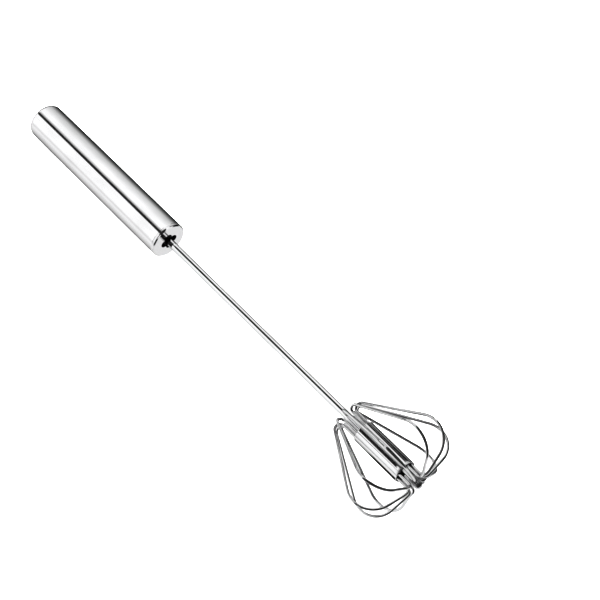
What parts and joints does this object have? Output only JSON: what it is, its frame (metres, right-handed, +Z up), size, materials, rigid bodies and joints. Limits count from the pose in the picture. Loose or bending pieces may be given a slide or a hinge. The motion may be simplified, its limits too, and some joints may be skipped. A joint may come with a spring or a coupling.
{
  "type": "push-down rotary whisk",
  "caption": "Push-down rotary whisk: a plain tubular handle slides over a thin shaft and spins a cage of wire loops.",
  "frame": {"origin": "middle of the bounding box on the table the whisk lies on", "axes": "+X from the closed end of the handle towards the wire cage, +Z up, the tool leaning up by 3.50 degrees towards the cage"},
  "size_m": [0.2986, 0.0568, 0.0541],
  "materials": {
    "handle_steel": "mirror polished stainless steel",
    "end_plate_steel": "fine turned rings",
    "shaft_steel": "polished stainless steel",
    "sleeve_steel": "polished stainless steel",
    "wire_steel": "bright drawn wire",
    "spring_steel": "drawn spring wire",
    "inner_steel": "plain",
    "black_plastic": "moulded nylon"
  },
  "bodies": {
    "handle": {"handle_tube": "handle_steel", "end_plate": "end_plate_steel", "guide_bush": "black_plastic", "strip_anchor": "black_plastic", "anchor_pin": "inner_steel", "drive_strip": "inner_steel", "return_spring": "spring_steel"},
    "seat": {"spring_seat": "inner_steel"},
    "beater": {"drive_nut": "black_plastic", "shaft_tube": "shaft_steel", "tip_pin": "shaft_steel", "hub_core": "inner_steel", "hub_sleeve": "sleeve_steel", "wire_loop_1": "wire_steel", "wire_loop_2": "wire_steel", "wire_loop_3": "wire_steel", "wire_loop_4": "wire_steel", "wire_loop_5": "wire_steel", "wire_loop_6": "wire_steel", "wire_loop_7": "wire_steel", "wire_loop_8": "wire_steel", "wire_loop_9": "wire_steel", "wire_loop_10": "wire_steel"}
  },
  "joints": [
    {"name": "push", "type": "slide", "parent": "handle", "child": "seat", "axis": [-0.9981, 0, -0.0611], "range_m": [0, 0.06], "stiffness_N_per_m": 130, "springref_m": -0.04, "deforming": ["return_spring"]},
    {"name": "spin", "type": "hinge", "parent": "seat", "child": "beater", "pos_m": [-0.05654, 0, 0.01545], "axis": [-0.9981, 0, -0.0611], "range_deg": [-5, 805]}
  ],
  "couplings": [
    {"joint": "spin", "follows": "push", "rad_per_m": 232.71}
  ]
}
